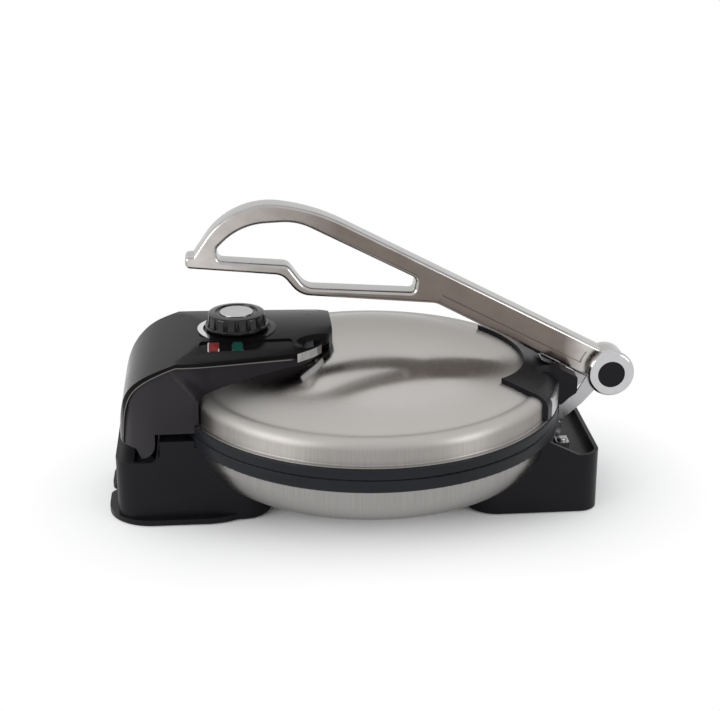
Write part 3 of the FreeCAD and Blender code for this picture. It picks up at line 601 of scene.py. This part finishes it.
def narrow_neck(points):
    """Draws the sides in to a neck over the lid, so that the panel overhangs it.

    With h from 0 at the lid to 1 at the panel, the inward step starts at NECK_START_Y - NECK_LEAD * h and is
    complete at NECK_Y; its share is 1 - (1 - u) ** (2 - 0.8 h), where u runs from 0 to 1 between the two.
    Behind NECK_REAR_Y the neck is also drawn together along Y, and its rear corners are quarter circles. What
    was lifted under the far dish keeps its place.
    """
    points = level_far_dish(points, DISH_GAP)
    x, y, z = points.T
    h = np.clip((z - NECK_LOW_Z) / NECK_RISE, 0, 1)
    start = NECK_START_Y - NECK_LEAD * h
    u = np.clip((y - start) / (NECK_Y - start), 0, 1)
    old = np.interp(y, *half_width(SIDE_INSET, PLAIN_CORNER).T)
    width = old + (NECK_HALF_W - old) * (1 - (1 - u) ** (2 - 0.8 * h))
    into = np.clip(y - (PANEL_REAR_Y - SIDE_INSET - NECK_CORNER_R), 0, NECK_CORNER_R)
    width -= NECK_CORNER_R - np.sqrt(NECK_CORNER_R ** 2 - into ** 2)
    far_top = (x < 0) & (z > panel_top(x) - LIFTED_POINTS)
    moved = scaled_x(points, np.where(far_top, 1.0, width / old))
    drawn = np.where(far_top, 0.0, np.maximum(y - NECK_REAR_Y, 0) * NECK_REAR_SHARE)
    return moved - np.stack([0 * y, drawn, 0 * y], -1)


def gloss_over_far_dish(piece):
    """Gives the housing's lifted faces, in the middle of the far dish, the panel's finish."""
    mesh = piece.data
    mesh.materials.append(GLOSS)
    centres = np.empty(len(mesh.polygons) * 3)
    mesh.polygons.foreach_get("center", centres)
    x, y, z = centres.reshape(-1, 3).T / MM
    near_middle = (x < 0) & (np.hypot(x + DISH_X, y - DISH_Y) < DISH_FLOOR_R)
    lifted = near_middle & (z > panel_top(x) - LIFTED_FACES)
    mesh.polygons.foreach_set("material_index", lifted.astype(np.int32))
    mesh.update()


def painted_edge_glint():
    """Painted highlight along the panel's lower edge on the near side: a pale circle carried along that edge,
    where its glint would be.

    The edge's Y and Z follow a spline up the front and then the panel's underside, and X is the half width
    there. The circle shrinks to a point at both ends.
    """
    front, top = HOUSING_FRONT_Y + PANEL_T, PANEL_TOP_Z - PANEL_T
    climb = spline(np.array([(front, 62.0), (front + 2.4, 84.0), (front + 8.2, 99.8), (-160.4, 111.6),
                             (-147.0, top - 8.2), (-126.0, top - 1.8), (-100.0, top + 1.0)]), 200)
    climb = climb[climb[:, 1] < panel_top(HOUSING_HALF_W) - PANEL_T]
    y = np.concatenate([climb[:, 0], np.linspace(climb[-1, 0] + 0.5, GLINT_LINE_END_Y, 120)])
    x = np.interp(y, *half_width(0.0, PLAIN_CORNER).T)
    z = np.concatenate([climb[:, 1], (panel_top(x) - PANEL_T)[len(climb):]])
    path = evenly(np.stack([x, y, z], -1), GLINT_LINE_ROWS)
    along = np.gradient(path, axis=0)
    along /= np.linalg.norm(along, axis=1)[:, None]
    side = np.cross(along, [1.0, 0, 0])
    side /= np.linalg.norm(side, axis=1)[:, None]
    third = np.cross(along, side)
    t = np.linspace(0, 2 * np.pi, GLINT_LINE_SIDES, endpoint=False)[None, :, None]
    row = np.arange(GLINT_LINE_ROWS)
    from_end = np.minimum(row, GLINT_LINE_ROWS - 1 - row)
    radius = GLINT_LINE_R * np.sqrt(np.clip(from_end / GLINT_LINE_END_ROWS, 0, 1))[:, None, None]
    ring = side[:, None] * np.cos(t) + third[:, None] * np.sin(t)
    # the painted highlight line, as a thin pale tube
    put("panel_edge_glint", path[:, None] + radius * ring, "lid", GLINT_PAINT)


def reshaped(change, along_y, along_z=()):
    """What reshapes a mesh: it is cut at each of the Y and Z planes, and its points go through change."""
    def reshape(mesh):
        work = bmesh.new()
        work.from_mesh(mesh)
        bmesh.ops.remove_doubles(work, verts=work.verts, dist=WELD)
        for axis, places in (((0, 1, 0), along_y), ((0, 0, 1), along_z)):
            for place in places:
                everything = work.verts[:] + work.edges[:] + work.faces[:]
                spot = [place * MM * part for part in axis]
                bmesh.ops.bisect_plane(work, geom=everything, dist=1e-6, plane_co=spot, plane_no=axis)
        work.to_mesh(mesh)
        work.free()
        points = np.empty(len(mesh.vertices) * 3)
        mesh.vertices.foreach_get("co", points)
        mesh.vertices.foreach_set("co", (change(points.reshape(-1, 3) / MM) * MM).ravel())
        mesh.update()
    return reshape


def control_end():
    """Panel, tabs and housing with their softer forms, and the painted highlight line along the panel's edge.
    """
    corner = reshaped(slanted_corner, CORNER_CUTS)
    dressed("control_panel", GLOSS, reshape=corner)
    dressed("panel_trim", CHROME, reshape=corner)
    neck = reshaped(narrow_neck, NECK_CUTS_Y, NECK_CUTS_Z)
    gloss_over_far_dish(dressed("control_housing", HOUSING, crease=50.0, reshape=neck))
    painted_edge_glint()


# ---------------------------------------------------------------- the pieces' finishes

DRESSED = {                    # finish, and bevel of the edges in millimetres
    "lower_ring": (RING, 0.0), "upper_ring": (RING, 0.0), "front_foot": (FOOT, 0.8), "rear_foot": (FOOT, 0.8),
    "rear_cover": (FOOT, 0.6), "lever_bracket": (PLAIN, 0.3), "press_lever": (CAST, 0.0), "knob": (KNOB, 0.3),
    "pivot_cap": (CHROME, 0.0), "knob_cap": (CHROME, 0.0), "lid_hinge_bracket": (PLAIN, 0.0),
}
AS_BUILT = {
    "lower_plate": PLATE, "upper_plate": PLATE, "lower_element": PLAIN, "upper_element": PLAIN,
    "foot_pads": RUBBER, "bracket_screws": PLAIN, "lever_pin": PLAIN, "cap_plug": FOOT, "pivot_nut": CHROME,
    "lid_hinge_pin": PLAIN, "cord_gland": RUBBER, "scale_ring": SCALE, "lamp_strip": GLOSS,
    "lamp_bezels": CHROME, "lamp_red": RED, "lamp_green": GREEN, "thermostat": HOUSING,
    "thermostat_shaft": PLAIN, "lever_bush": BRONZE,
}

lid()
pan()
for node, (finish, bevel) in DRESSED.items():
    dressed(node, finish, bevel)
control_end()
for node, finish in AS_BUILT.items():
    NODES[node].data.materials.clear()
    NODES[node].data.materials.append(finish)


# ---------------------------------------------------------------- floor, light and camera

def seen(tree):
    """1 for the rays that show the background: camera, glossy and transmission."""
    path = tree.nodes.new("ShaderNodeLightPath")
    total = path.outputs["Is Camera Ray"]
    for name in ("Is Glossy Ray", "Is Transmission Ray"):
        both = tree.nodes.new("ShaderNodeMath")
        both.operation = "MAXIMUM"
        tree.links.new(total, both.inputs[0])
        tree.links.new(path.outputs[name], both.inputs[1])
        total = both.outputs[0]
    return total


def world():
    """White where it is seen, and a plain pale light everywhere else."""
    pale = bpy.data.worlds.new("studio")
    bpy.context.scene.world = pale
    pale.use_nodes = True
    tree = pale.node_tree
    ambient = tree.nodes["Background"]
    ambient.inputs["Color"].default_value = (0.97, 0.985, 1, 1)
    ambient.inputs["Strength"].default_value = 0.75
    white = tree.nodes.new("ShaderNodeBackground")
    white.inputs["Color"].default_value = (1, 1, 1, 1)
    mix = tree.nodes.new("ShaderNodeMixShader")
    tree.links.new(seen(tree), mix.inputs[0])
    tree.links.new(ambient.outputs[0], mix.inputs[1])
    tree.links.new(white.outputs[0], mix.inputs[2])
    tree.links.new(mix.outputs[0], tree.nodes["World Output"].inputs["Surface"])


FLOOR_HALF = 4000.0
FLOOR_LINE_HALF = 100.0
FLOOR_FADE = 50.0, 160.0       # distances from the line between which the floor turns to plain white


def floor():
    """Pale floor that takes the object's shadow and turns to plain white away from it.

    The distance runs from a line under the object, which lies along Y to both sides of its middle.
    """
    half = FLOOR_HALF * MM
    mesh = bpy.data.meshes.new("floor")
    corners = [(-half, -half, 0), (half, -half, 0), (half, half, 0), (-half, half, 0)]
    mesh.from_pydata(corners, [], [(0, 1, 2, 3)])
    plane = bpy.data.objects.new("floor", mesh)
    bpy.context.scene.collection.objects.link(plane)
    n = Nodes("pale_floor")
    n.set(Base_Color=(0.95, 0.95, 0.95, 1), Roughness=0.7, Specular_IOR_Level=0.0)
    x, y, _ = n.axes()
    beyond = n.math("MAXIMUM", n.math("SUBTRACT", n.math("ABSOLUTE", y), FLOOR_LINE_HALF), 0.0)
    squares = n.math("ADD", n.math("MULTIPLY", x, x), n.math("MULTIPLY", beyond, beyond))
    away = n.math("SQRT", squares)
    fade = n.math("MULTIPLY", n.ramp(away, 0.0, 1.0, *FLOOR_FADE), seen(n.tree))
    glow = n.add("Emission")
    glow.inputs["Color"].default_value = (1, 1, 1, 1)
    mix = n.add("MixShader")
    n.link(fade, mix.inputs[0])
    n.link(n.shader.outputs[0], mix.inputs[1])
    n.link(glow.outputs[0], mix.inputs[2])
    n.link(mix.outputs[0], n.tree.nodes["Material Output"].inputs["Surface"])
    mesh.materials.append(n.material)


def lamp(name, place, target, size, power, shine):
    """Soft rectangular lamp at a place, aimed at a target, in metres; shine says whether gloss shows it."""
    light = bpy.data.lights.new(name, "AREA")
    light.shape = "RECTANGLE"
    light.size, light.size_y = size
    light.energy = power
    holder = bpy.data.objects.new(name, light)
    holder.location = place
    holder.rotation_euler = (Vector(target) - Vector(place)).to_track_quat("-Z", "Y").to_euler()
    holder.visible_camera = False
    holder.visible_glossy = shine
    bpy.context.scene.collection.objects.link(holder)


def studio():
    """The pale world, the floor and three soft lamps, of which only the two at the sides show in gloss."""
    bpy.context.scene.view_settings.view_transform = "Standard"
    world()
    floor()
    lamp("overhead", (0.0, 0.0, 1.4), (0, 0, 0), (1.6, 2.4), 1.5, False)
    lamp("left", (0.7, -1.35, 0.6), (0, 0, 0.08), (1.1, 0.7), 10, True)
    lamp("right", (0.9, 1.25, 0.55), (0, 0, 0.08), (0.6, 0.6), 5, True)


AZIMUTH, ELEVATION = math.radians(85.0), math.radians(22.06)
DISTANCE = 1200.0
LOOK_Z = 76.0
FOCAL = 1.3427                 # pixels per millimetre at the look-at point
PRINCIPAL = 369.7, 391.4       # where that point lies in the image, in pixels
IMAGE = 720, 711
SENSOR = 36.0


def camera():
    """A camera on a sphere round the look-at point; its shift puts that point in its place in the image."""
    back = np.array([math.sin(AZIMUTH) * math.cos(ELEVATION), -math.cos(AZIMUTH) * math.cos(ELEVATION),
                     math.sin(ELEVATION)])
    right = np.array([math.cos(AZIMUTH), math.sin(AZIMUTH), 0])
    data = bpy.data.cameras.new("camera")
    data.sensor_width = SENSOR
    data.lens = FOCAL * DISTANCE * SENSOR / IMAGE[0]
    data.shift_x = (IMAGE[0] / 2 - PRINCIPAL[0]) / IMAGE[0]
    data.shift_y = (PRINCIPAL[1] - IMAGE[1] / 2) / IMAGE[0]
    data.clip_end = 20
    holder = bpy.data.objects.new("camera", data)
    turn = Matrix(np.stack([right, np.cross(back, right), back], -1).tolist())
    place = (back * DISTANCE + np.array([0, 0, LOOK_Z])) * MM
    holder.matrix_world = Matrix.Translation(place.tolist()) @ turn.to_4x4()
    bpy.context.scene.collection.objects.link(holder)
    bpy.context.scene.camera = holder


studio()
camera()
